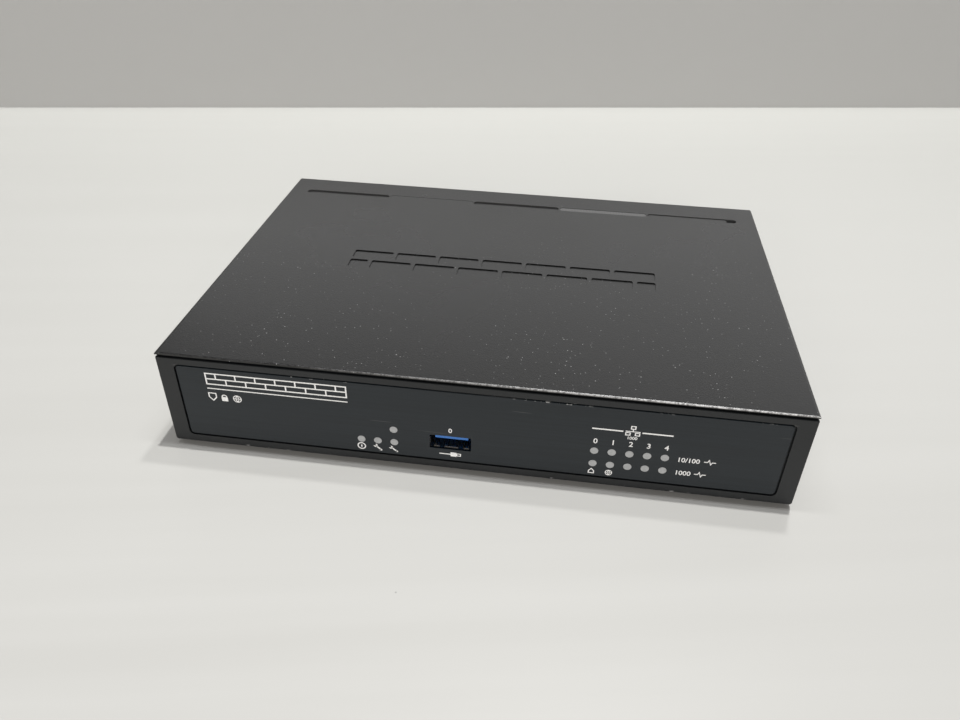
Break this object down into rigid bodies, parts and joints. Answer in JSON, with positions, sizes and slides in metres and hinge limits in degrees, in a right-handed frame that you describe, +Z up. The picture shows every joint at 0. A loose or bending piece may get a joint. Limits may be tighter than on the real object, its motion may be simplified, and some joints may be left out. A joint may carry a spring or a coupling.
{
  "type": "firewall appliance",
  "caption": "Desktop network firewall appliance: flat black steel case, plastic front frame with port lights and a USB port, rear network jacks, power inlet and recessed reset button.",
  "frame": {"origin": "centre of the footprint on the table, under the rubber feet", "axes": "+Z up, the front face towards -Y, +X to the right seen from the front"},
  "size_m": [0.19, 0.134, 0.035],
  "materials": {
    "cover_paint": "fine black powder coat",
    "chassis_paint": "fine black powder coat",
    "bezel_plastic": "fine satin texture",
    "overlay_film": "brushed satin film",
    "foot_rubber": "matte",
    "seal_foam": "matte foam",
    "conductive_cloth": "woven metallised cloth over foam",
    "insulator_film": "satin film",
    "label_film": "satin film",
    "black_zinc": "black zinc",
    "bright_zinc": "bright zinc",
    "pipe_plastic": "frosted translucent moulding",
    "led_resin": "moulded resin",
    "board_laminate": "green solder mask",
    "chip_resin": "moulded resin",
    "processor_lid": "nickel lid",
    "pad_silicone": "matte",
    "sink_aluminium": "anodised",
    "pin_nylon": "moulded",
    "spring_steel": "bright",
    "can_aluminium": "satin",
    "ceramic": "fired",
    "nickel_can": "nickel",
    "holder_plastic": "moulded",
    "jack_nickel": "nickel plate",
    "jack_plastic": "moulded",
    "contact_gold": "gold plate",
    "pin_nickel": "nickel plate",
    "tongue_plastic": "moulded blue",
    "button_plastic": "moulded"
  },
  "bodies": {
    "case": {"top_cover": "cover_paint", "base_tray": "chassis_paint", "rear_panel": "chassis_paint", "front_bezel": "bezel_plastic", "front_overlay": "overlay_film", "rubber_feet": "foot_rubber", "slot_seal_strips": "seal_foam", "conductive_gasket": "conductive_cloth", "insulator_sheet": "insulator_film", "rating_label": "label_film", "cover_screws": "black_zinc", "clinch_nuts": "bright_zinc", "bezel_screws": "bright_zinc", "board_standoffs": "bright_zinc", "board_screws": "bright_zinc", "panel_rivets": "bright_zinc", "ground_screw": "bright_zinc", "ground_washer": "bright_zinc", "port_light_pipe": "pipe_plastic", "status_light_pipe": "pipe_plastic", "indicator_leds": "led_resin", "main_board": "board_laminate", "memory_chips": "chip_resin", "flash_chips": "chip_resin", "switch_chip": "chip_resin", "lan_transformers": "chip_resin", "power_inductors": "chip_resin", "processor": "processor_lid", "thermal_pad": "pad_silicone", "heat_sink": "sink_aluminium", "heat_sink_pins": "pin_nylon", "heat_sink_springs": "spring_steel", "coin_cell_clip": "spring_steel", "dc_jack_spring": "spring_steel", "electrolytic_capacitors": "can_aluminium", "ceramic_capacitors": "ceramic", "crystals": "nickel_can", "coin_cell": "nickel_can", "coin_cell_holder": "holder_plastic", "reset_switch": "holder_plastic", "console_shell": "jack_nickel", "ethernet_shell_1": "jack_nickel", "ethernet_shell_2": "jack_nickel", "ethernet_shell_3": "jack_nickel", "ethernet_shell_4": "jack_nickel", "ethernet_shell_5": "jack_nickel", "usb_shell": "jack_nickel", "console_insert": "jack_plastic", "ethernet_insert_1": "jack_plastic", "ethernet_insert_2": "jack_plastic", "ethernet_insert_3": "jack_plastic", "ethernet_insert_4": "jack_plastic", "ethernet_insert_5": "jack_plastic", "dc_jack_body": "jack_plastic", "jack_contacts": "contact_gold", "usb_contacts": "contact_gold", "dc_jack_pin": "pin_nickel", "usb_tongue": "tongue_plastic"},
    "reset_plunger": {"reset_button": "button_plastic"}
  },
  "joints": [
    {"name": "reset_press", "type": "slide", "parent": "case", "child": "reset_plunger", "axis": [0, -1, 0], "range_m": [0, 0.0003], "stiffness_N_per_m": 3300}
  ]
}
